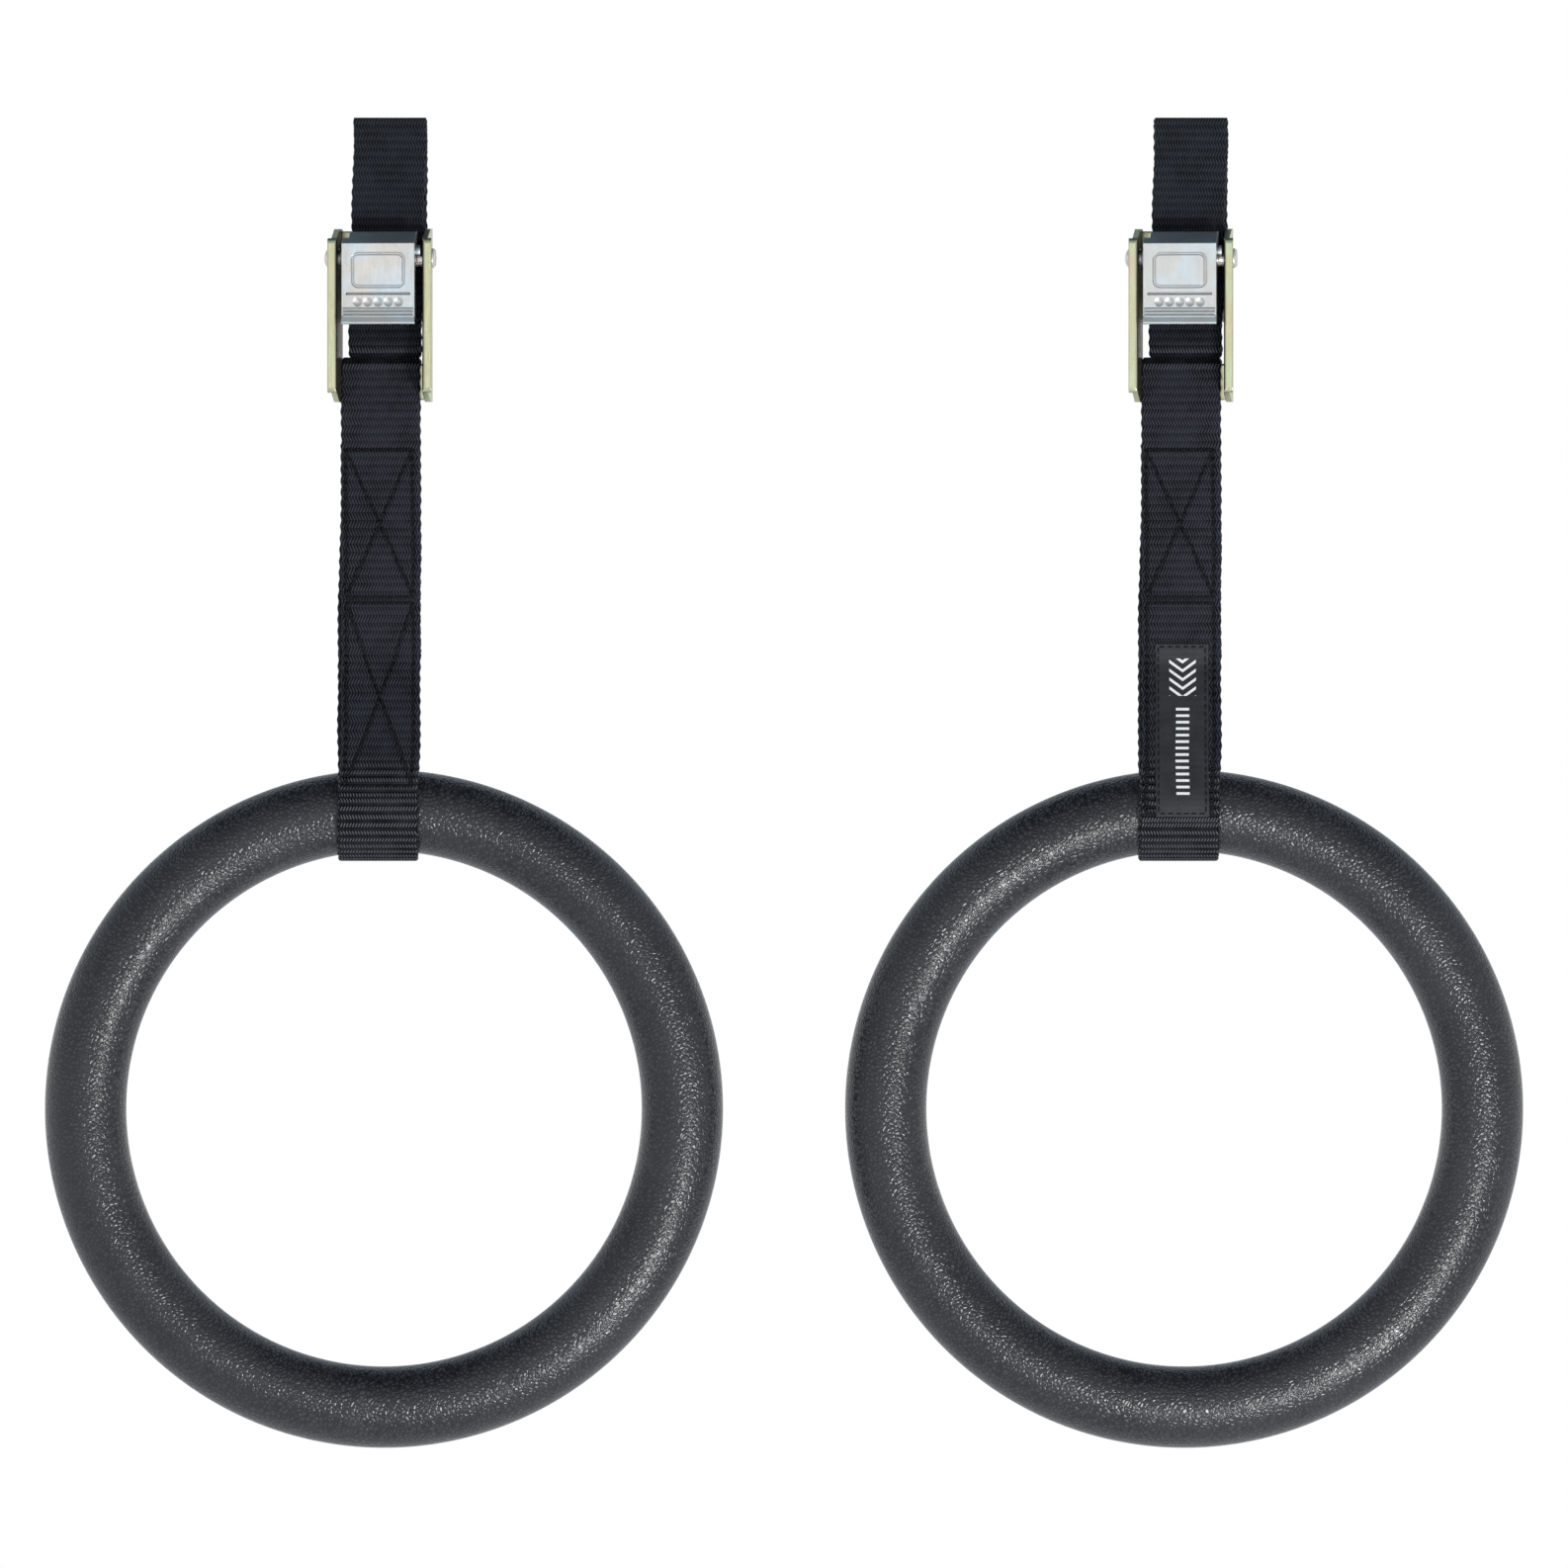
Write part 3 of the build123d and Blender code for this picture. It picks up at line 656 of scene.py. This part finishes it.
class Ply:
    """One layer of webbing: its route in (y, z), its width, and its middle's x along the route."""

    step = ROW / 8

    def __init__(self, side, stretches, width, lane, thickness=WEB_T, ease=0.6, phase=0.0):
        fine, _ = evenly(np.concatenate(stretches), FINE)
        line, self.along = evenly(eased(fine, ease, FINE), self.step)
        self.y, self.z = line[:, 0], line[:, 1]
        ahead = directions(line)
        self.ny, self.nz = ahead[:, 1], -ahead[:, 0]
        heading = np.unwrap(np.arctan2(ahead[:, 1], ahead[:, 0]))
        self.curve = np.abs(np.gradient(heading, self.along))
        self.x = ring_x(side)
        self.width, self.thickness, self.phase = width, thickness, phase
        self.lane = lane

    @property
    def length(self):
        return self.along[-1]

    def place(self, along, across, lift):
        """Points at those distances along and across the ply, lifted off its middle surface."""
        along = np.asarray(along, float)
        y = np.interp(along, self.along, self.y) + lift * np.interp(along, self.along, self.ny)
        z = np.interp(along, self.along, self.z) + lift * np.interp(along, self.along, self.nz)
        level = np.interp(along, self.along, self.z)
        x, y = turned(self.lane(level) - BUCKLE_X + across, y, yaw_at(level))
        return np.stack([self.x + BUCKLE_X + x, y, z], -1)

    def along_at(self, z, last=False):
        """How far along the route it first, or last, comes to a height."""
        near = np.abs(self.z - z)
        hits = np.flatnonzero(near < self.step)
        return self.along[hits[-1] if last else hits[0]]


def opening(ply):
    """How far the small loops and the grip open the weave's rows, 0 to 1, along a route."""
    opened = np.clip((ply.curve - OPEN_CURVE) * OPEN_RISE, 0, 1)
    opened = np.maximum(opened, smooth(-ply.z, *OPEN_AT_GRIP))
    window = np.hanning(2 * OPEN_BLUR + 1)
    padded = np.pad(opened, OPEN_BLUR, mode="edge")
    return np.convolve(padded, window / window.sum(), "valid")


def cross_section(width, thickness, spacing):
    """Across positions and the share of the half thickness at each, with rounded selvedges."""
    edge = thickness / 2
    steps = edge * (1 - np.cos(np.linspace(0, math.pi / 2, 6)))
    middle = np.linspace(-width / 2 + edge, width / 2 - edge, int((width - 2 * edge) / spacing) + 2)
    across = np.concatenate([-width / 2 + steps[:-1], middle, width / 2 - steps[:-1][::-1]])
    inset = np.clip((width / 2 - np.abs(across)) / edge, 0, 1)
    return across, np.sqrt(1 - (1 - inset) ** 2)


def wander(along, seed, size):
    """A slow drift, the same on every run."""
    random = np.random.default_rng(seed)
    total = np.zeros_like(along)
    for wave in (61.0, 34.0, 19.0):
        total += np.sin(2 * math.pi * along / wave + random.uniform(0, 2 * math.pi)) * wave / 61
    return total * size


def nearness(along, across, lines):
    """1 on a seam's line and 0 well away from it."""
    near = np.zeros(np.broadcast(along, across).shape)
    for start, end in np.array(lines, float).reshape(-1, 2, 2):
        ahead = end - start
        u, v = along - start[0], across - start[1]
        share = np.clip((u * ahead[0] + v * ahead[1]) / (ahead @ ahead), 0, 1)
        gap = np.hypot(u - share * ahead[0], v - share * ahead[1])
        near = np.maximum(near, np.exp(-((gap / SEAM_REACH) ** 2)))
    return near


def end_faces(rows, columns, count):
    """Strips that close a ply's two ends. The first count points of a row are its outer face."""
    back = [0, *range(columns - 1, count - 1, -1), count - 1]
    faces = []
    for start, flip in ((0, False), ((rows - 1) * columns, True)):
        for j in range(count - 1):
            corners = [start + c for c in dict.fromkeys((j, j + 1, back[j + 1], back[j]))]
            faces.append(corners if flip else corners[::-1])
    return faces


def webbing(name, ply, material, seed, ribs=True, seams=()):
    """A ply's mesh. Its weave is (across, along, seed + 0.95 where the rows are fully open)."""
    woven = 1 if ribs else 0
    across, share = cross_section(ply.width, ply.thickness, POINT_GAP)
    around = np.concatenate([across, across[-2:0:-1]])[None, :]
    side = np.concatenate([share, -share[-2:0:-1]])[None, :]
    along = ply.along[:, None]
    beat = np.abs(np.sin(math.pi * (along + ply.phase) / ROW)) ** RIB_SHARPNESS
    opened = woven * opening(ply)[:, None]
    rib = woven * (FLAT_RIB + (OPEN_RIB - FLAT_RIB) * opened) * (2 * beat - 1.2)
    out = 2 * around / ply.width
    cupping = woven * CUPPING * np.sin(along / CUPPING_WAVE + seed) * (1 - out**2)
    sewn = nearness(along, around, seams) * (side > 0)
    lift = side * (ply.thickness / 2 + rib) + cupping - SEAM_DEPTH * sewn
    scallop = np.cos(2 * math.pi * (along + ply.phase) / EDGE_PITCH) * EDGE_DEPTH
    edge = woven * np.clip(np.abs(out), 0, 1) ** SELVEDGE * np.sign(around)
    placed = around + wander(ply.along, seed, WANDER)[:, None] + edge * scallop
    points = ply.place(np.broadcast_to(along, lift.shape), placed, lift).reshape(-1, 3)
    rows, columns = lift.shape
    faces = grid_quads(rows, columns).reshape(-1, 4).tolist()
    curved = len(faces)
    faces += end_faces(rows, columns, len(across))
    weave = np.stack(np.broadcast_arrays(around, along + ply.phase, seed + 0.95 * opened), -1)
    made = make_object(name, points, faces, material, curved, weave.reshape(-1, 3), sewn)
    return made


# ---------------------------------------------------------------- stitches

STITCH = 2.9
THREAD_R = 0.3
STITCH_GAP = 0.06  # share of a stitch that is hidden at each end
STITCH_SUNK, STITCH_RISE = 0.32, 0.36
TACK_STEP = 1.1
TACK_SUNK, TACK_RISE = 0.05, 0.3


def arch(points):
    """How far a stitch stands out along its length, 0 to 1."""
    return np.sin(np.linspace(0, math.pi, points)) ** 0.6


def seam(tubes, ply, start, end):
    """A row of lockstitches from (along, across) to (along, across) on a ply's outer face."""
    start, end = np.array(start, float), np.array(end, float)
    count = max(1, round(np.linalg.norm(end - start) / STITCH))
    part, rise = np.linspace(STITCH_GAP, 1 - STITCH_GAP, 7), arch(7)
    lift = ply.thickness / 2 - STITCH_SUNK + STITCH_RISE * rise
    for i in range(count):
        spots = start + (end - start) * ((i + part) / count)[:, None]
        tubes.add(ply.place(spots[:, 0], spots[:, 1], lift), THREAD_R * (0.55 + 0.45 * rise))


def zigzag(tubes, ply, start, end, across):
    """A bar of zigzag stitches along a selvedge."""
    count = round(abs(end - start) / TACK_STEP)
    ends = np.linspace(start, end, count + 1)
    part, rise = np.linspace(0, 1, 5), arch(5)
    lift = ply.thickness / 2 - TACK_SUNK + TACK_RISE * rise
    for i in range(count):
        sideways = TACK_W / 2 if i % 2 else -TACK_W / 2
        spots = ends[i] + (ends[i + 1] - ends[i]) * part
        line = ply.place(spots, across + sideways * (1 - 2 * part), lift)
        tubes.add(line, THREAD_R * (0.6 + 0.4 * rise))


def stitches(name, material, sewn, tacks=()):
    """The seams of some plies, and any zigzag bars, as one piece."""
    tubes = Tubes()
    for ply, lines in sewn:
        for start, end in lines:
            seam(tubes, ply, start, end)
    for tack in tacks:
        zigzag(tubes, *tack)
    made = tubes.object(name, material)
    return made


def box_and_cross(ply, z_range, x_range, last=False):
    """The lines of a stitched box with a cross in it, between two heights."""
    high, low = (ply.along_at(z, last) for z in z_range)
    left, right = x_range
    corners = [(high, left), (low, left), (low, right), (high, right)]
    lines = list(zip(corners, corners[1:] + corners[:1]))
    return lines + [(corners[0], corners[2]), (corners[1], corners[3])]


# ---------------------------------------------------------------- long strap


def long_lane(z):
    """The long strap slips to one side where it turns in the window."""
    return BUCKLE_X + LONG_WEB_X - 1.5 * smooth(-z, 50, 66)


def strap_eye(side, looks):
    """The sewn eye and the loaded run, to where the buckle's piece takes it on."""
    back_y = LOAD_Y + PLY
    back_foot, front_foot = (back_y, EYE_JOIN_Z), (LOAD_Y, EYE_JOIN_Z)
    start = touch((0, 0), EYE_R, back_foot, 1)
    end = touch((0, 0), EYE_R, front_foot, -1) + 360
    over = turn((0, 0), EYE_R, start, end)
    stretches = [run((back_y, SEWN_END_Z), back_foot, tuple(over[0])), over]
    stretches += [run(tuple(over[-1]), front_foot, (LOAD_Y, LOAD_SEAM_Z))]
    ply = Ply(side, stretches, LONG_WEB_W, long_lane)
    lines = box_and_cross(ply, EYE_BOX_Z, EYE_BOX_X)
    piece = webbing(f"{side}_eye_webbing", ply, looks["long"], 3, seams=lines)
    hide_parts(f"{side}_strap_eye", f"{side}_long_strap")
    sewing = stitches(f"{side}_eye_stitches", looks["thread"], [(ply, lines)])
    for made in (piece, sewing):
        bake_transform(made)


def load_run(side, looks):
    """The stretch behind the buckle's floor, which takes up the change in height."""
    ply = Ply(side, [run((LOAD_Y, LOAD_SEAM_Z), (LOAD_Y, LOOP_SEAM_Z))], LONG_WEB_W, long_lane)
    piece = webbing(f"{side}_load_run_webbing", ply, looks["long"], 4)
    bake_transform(piece)


def strap_tail(side, looks):
    """The free loop in the window, the run under the cam and the tail in front of the eye."""
    bend_foot = (CAM_RUN_Y, TAIL_BEND_Z - 4)
    stretches = [
        run((LOAD_Y, LOOP_SEAM_Z), (LOAD_Y, TURN_Z)),
        turn((BAR_Y, TURN_Z), LOOP_R, 0, -180),
        run((CAM_RUN_Y, TURN_Z), bend_foot),
        run(bend_foot, (CAM_RUN_Y - 0.25, TAIL_BEND_Z), (TAIL_TOP_Y, TAIL_TOP_Z)),
    ]
    ply = Ply(side, stretches, LONG_WEB_W, long_lane, phase=1.1)
    piece = webbing(f"{side}_tail_webbing", ply, looks["long"], 5)
    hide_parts(f"{side}_strap_tail")
    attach(piece, f"{side}_buckle")


# ---------------------------------------------------------------- ring strap


def outer_lane(z):
    """The outer ply drifts a little to the left as it goes down."""
    return -0.6 - 0.3 * smooth(-z, 98, 160) - 0.9 * smooth(-z, 200, 236)


def inner_lane(z):
    """The inner ply drifts out from under the outer one as it goes down."""
    return -0.9 - 1.2 * smooth(-z, 122, 160)


def grip_lane(z):
    """The loop round the grip lies a little to the left of the plies above it."""
    return -2.1 + 0.2 * smooth(-z, 200, 240)


def upper_blend(piece):
    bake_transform(piece)


def lower_blend(piece):
    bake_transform(piece)


def upper_ply(side):
    """Over the buckle's crossbar, with a leg down the front and one down the back."""
    back, front = BAR_Y + PLY, BAR_Y - PLY
    stretches = [
        run((back, SEAM_Z), (back, STACK_TOP_Z), (LOAD_Y, STRAIGHT_Z), (LOAD_Y, BAR_LOOP_Z)),
        turn((BAR_Y, BAR_LOOP_Z), LOOP_R, 0, 180),
        run((CAM_RUN_Y, BAR_LOOP_Z), (CAM_RUN_Y, STRAIGHT_Z), (front, STACK_TOP_Z), (front, SEAM_Z)),
    ]
    return Ply(side, stretches, RING_WEB_W, outer_lane)


def grip_ply(side):
    """Down the front inside the lap, round the grip and up the back."""
    front_knee, back_knee = (BAR_Y, SPREAD_Z), (BAR_Y + PLY, SPREAD_Z)
    start = touch(GRIP, CRADLE_R, front_knee, 1) % 360
    end = touch(GRIP, CRADLE_R, back_knee, -1) + 360
    round_grip = turn(GRIP, CRADLE_R, start, end)
    stretches = [run((BAR_Y, SEAM_Z), front_knee, tuple(round_grip[0])), round_grip]
    stretches += [run(tuple(round_grip[-1]), back_knee, (BAR_Y + PLY, SEAM_Z))]
    return Ply(side, stretches, RING_WEB_W, grip_lane, ease=KNEE_EASE)


def lap_ply(side, phase):
    """The outer front ply's lower end, sewn down over the inner one."""
    front = BAR_Y - PLY
    knee = (front, SPREAD_Z)
    angle = touch(GRIP, LAP_R, knee, 1) % 360
    meets = turn(GRIP, LAP_R, angle, LAP_END[side] or angle + 1)
    stretches = [run((front, SEAM_Z), knee, tuple(meets[0])), meets]
    return Ply(side, stretches, RING_WEB_W, outer_lane, ease=KNEE_EASE, phase=phase)


def open_box(top, end):
    """A row across the ring strap and the two seams that run on from its ends."""
    left, right = RING_SEAM_X
    return [((top, left), (end, left)), ((top, right), (end, right)), ((top, left), (top, right))]


def upper_seams(upper):
    """A box and cross on each face, and the start of the next one below."""
    lines = []
    for last in (True, False):
        lines += box_and_cross(upper, BOX_Z, RING_SEAM_X, last)
        lines += open_box(upper.along_at(NEXT_BOX_Z, last), upper.along_at(SEAM_Z, last))
    return lines


def cross_over_seam(upper, lap):
    """The left side's lower cross: the part above where the two pieces meet, and the part below."""
    left, right = RING_SEAM_X
    top, end = upper.along_at(NEXT_BOX_Z, True), lap.length - LAP_HEM
    share = (upper.length - top) / (upper.length - top + end)
    crossing = left + (right - left) * share
    other = left + right - crossing
    above = [((top, left), (upper.length, crossing)), ((top, right), (upper.length, other))]
    return above, [((SEAM_START, crossing), (end, right)), ((SEAM_START, other), (end, left))]


def lap_seams(lap):
    left, right = RING_SEAM_X
    end = lap.length - LAP_HEM
    sides = [((SEAM_START, left), (end, left)), ((SEAM_START, right), (end, right))]
    return sides + [((end, left), (end, right))]


def grip_seams(grip):
    return open_box(grip.along_at(GRIP_SEAM_Z, True), grip.along_at(SEAM_Z, True))


def lap_tacks(lap):
    """Zigzag bars on both side seams at the lap's end."""
    left, right = RING_SEAM_X
    end = lap.length - LAP_HEM
    return [(lap, end - TACK_LENGTH, end, x) for x in (left + TACK_INSET, right - TACK_INSET)]


def ring_strap(side, looks):
    """All the layers of the strap that carries a ring, and their stitches."""
    upper, grip = upper_ply(side), grip_ply(side)
    inner = Ply(side, [run((BAR_Y, INNER_PLY_TOP_Z), (BAR_Y, SEAM_Z))], RING_WEB_W, inner_lane)
    lap = lap_ply(side, upper.length)
    above, around, below = upper_seams(upper), grip_seams(grip), lap_seams(lap)
    crossed = cross_over_seam(upper, lap) if side == "left" else ([], [])
    above, below = above + crossed[0], below + crossed[1]
    tacks = lap_tacks(lap) if side == "right" else []
    look, thread, slot = looks["ring"], looks["thread"], "ring_webbing"

    piece = webbing(f"{side}_bar_loop_webbing", upper, look, 6, seams=above)
    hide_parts(f"{side}_bar_loop", f"{side}_ring_strap")
    middle = webbing(f"{side}_inner_ply_webbing", inner, look, 7)
    loop = webbing(f"{side}_grip_webbing", grip, look, 8, seams=around)
    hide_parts(f"{side}_strap_cradle")
    front = webbing(f"{side}_lap_webbing", lap, look, 6, seams=below)

    upper_thread = stitches(f"{side}_upper_stitches", thread, [(upper, above)])
    sewn = [(grip, around), (lap, below)]
    lower_thread = stitches(f"{side}_lower_stitches", thread, sewn, tacks)
    for made in (piece, middle, upper_thread):
        upper_blend(made)
    for made in (loop, front, lower_thread):
        lower_blend(made)


def label_lane(z):
    return np.full_like(z, LABEL_X)


def label(side, looks):
    """A satin label sewn over the lap."""
    radius = LAP_R + LABEL_LIFT
    knee = (BAR_Y - PLY - LABEL_LIFT, SPREAD_Z)
    angle = touch(GRIP, radius, knee, 1) % 360
    meets = turn(GRIP, radius, angle, LABEL_END)
    stretches = [run((knee[0], LABEL_TOP_Z), knee, tuple(meets[0])), meets]
    ply = Ply(side, stretches, LABEL_W, label_lane, LABEL_T, ease=KNEE_EASE)
    satin = label_material(ply.length)
    piece = webbing(f"{side}_satin_label", ply, satin, 11, ribs=False)
    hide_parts(f"{side}_label")
    edge, end = LABEL_W / 2 - LABEL_HEM, ply.length - LABEL_HEM
    lines = [((LABEL_HEM, across), (end, across)) for across in (-edge, edge)]
    lines += [((along, -edge), (along, edge)) for along in (LABEL_HEM, end)]
    sewing = stitches(f"{side}_label_stitches", looks["thread"], [(ply, lines)])
    for made in (piece, sewing):
        lower_blend(made)


# ---------------------------------------------------------------- rings

RING_STEPS = 720
HALF_STEPS = 44
PARTING_DEPTH = 0.22
PARTING_HALF = 0.34  # how far the groove reaches to each side of the parting line
PARTING_GAP = 0.02  # from the parting line to each half


def ring_half(side, half, material):
    """The front or rear half of the grip, with the fine groove where the two shells meet."""
    angle = np.linspace(0, math.pi, HALF_STEPS)
    lip = PARTING_HALF / TUBE_R
    angle = np.sort(np.concatenate([angle, [lip / 2, lip, math.pi - lip, math.pi - lip / 2]]))
    from_parting = np.minimum(angle, math.pi - angle)
    radius = TUBE_R - PARTING_DEPTH * (1 - smooth(from_parting, 0, lip))
    facing = -1 if half == "front" else 1
    y = facing * (radius * np.sin(angle) + PARTING_GAP)
    out = RING_R + radius * np.cos(angle)
    around = np.arange(RING_STEPS) * 2 * math.pi / RING_STEPS
    x = ring_x(side) + np.outer(np.cos(around), out)
    z = RING_Z + np.outer(np.sin(around), out)
    points = np.stack([x, np.broadcast_to(y, x.shape), z], -1).reshape(-1, 3)
    quads = grid_quads(RING_STEPS, len(angle), closed=True)
    if half == "rear":
        quads = quads[..., ::-1]
    curved = quads[:, :-1].reshape(-1, 4).tolist()
    flat = quads[:, -1].reshape(-1, 4).tolist()
    piece = make_object(f"{side}_grip_{half}", points, curved + flat, material, len(curved))
    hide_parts(f"{side}_ring_{half}_half")
    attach(piece, f"{side}_ring")


# ---------------------------------------------------------------- cam spring

PIN_Y, PIN_Z = -10.2, -41.2
SPRING_R = 3.95
WIRE_R = 0.45
SPRING_X = (-13.95, -11.7)
SPRING_TURNS = 3
COIL_STEP = 6  # degrees from point to point of the wire
HOOK = (9.4, 0.0)  # where the fixed leg ends, (y, z) from the pin
PUSH = (-5.8, -12.0)  # where the moving leg ends


def cam_spring(side, looks):
    """Turns round the pin, one leg in the frame's slot and one behind the lever."""
    start = touch((0, 0), SPRING_R, HOOK, 1)
    end = touch((0, 0), SPRING_R, PUSH, -1) + 360 * SPRING_TURNS
    coil = turn((0, 0), SPRING_R, start, end)
    x = np.linspace(*SPRING_X, len(coil))
    coil = np.column_stack([x, coil])[::COIL_STEP]
    line = np.array([(SPRING_X[0], *HOOK), *coil, (SPRING_X[1], *PUSH)]) + (0, PIN_Y, PIN_Z)
    x, y = turned(line[:, 0], line[:, 1], BUCKLE_YAW)
    tubes = Tubes(10)
    tubes.add(np.stack([ring_x(side) + BUCKLE_X + x, y, line[:, 2]], 1), WIRE_R)
    piece = tubes.object(f"{side}_spring_wire", looks["wire"])
    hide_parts(f"{side}_torsion_spring")
    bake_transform(piece)


# ---------------------------------------------------------------- everything

make_camera()
make_world()
make_floor()
soft_box("key", (0.38, -0.84, -0.38), 1500, 270, 15.0)
soft_box("front_panel", (-0.275, -0.96, 0.02), 1700, 800, 1.5)

LOOKS = {
    "long": webbing_material("long_webbing", (0.0008, 0.0011, 0.0018), (0.020, 0.0245, 0.034)),
    "ring": webbing_material("ring_webbing", (0.0008, 0.0010, 0.0016), (0.031, 0.0345, 0.0455)),
    "thread": thread_material(),
    "plastic": ring_material(),
    "wire": wire_material(),
    "lever": zinc_material(
        "clear_zinc",
        (0.525, 0.53, 0.51),
        ((0.53, 0.585, 0.62), (0.66, 0.585, 0.52), (0.40, 0.43, 0.46)),
        0.3,
        0.36,
    ),
    "pin": zinc_material(
        "rivet_zinc",
        (0.72, 0.68, 0.64),
        ((0.72, 0.62, 0.58), (0.60, 0.62, 0.62), (0.40, 0.36, 0.32)),
        0.3,
        0.34,
    ),
}


def frame_material(side):
    """Yellow zinc, with painted shade on the walls' inner faces. Each frame has its own, because its
    walls are told apart by their x.
    """
    tints = ((0.48, 0.52, 0.35), (0.55, 0.46, 0.33), (0.31, 0.27, 0.19))
    middle_x = ring_x(side) + BUCKLE_X
    return zinc_material(f"{side}_yellow_zinc", (0.49, 0.475, 0.31), tints, 0.35, 0.32, middle_x)


def recolour(node, material):
    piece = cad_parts[node]
    piece.data.materials.clear()
    piece.data.materials.append(material)


for side in SIDES:
    recolour(f"{side}_buckle_frame", frame_material(side))
    recolour(f"{side}_cam_lever", LOOKS["lever"])
    recolour(f"{side}_pivot_pin", LOOKS["pin"])
    strap_eye(side, LOOKS)
    load_run(side, LOOKS)
    strap_tail(side, LOOKS)
    ring_strap(side, LOOKS)
    cam_spring(side, LOOKS)
    for half in ("front", "rear"):
        ring_half(side, half, LOOKS["plastic"])
label("right", LOOKS)
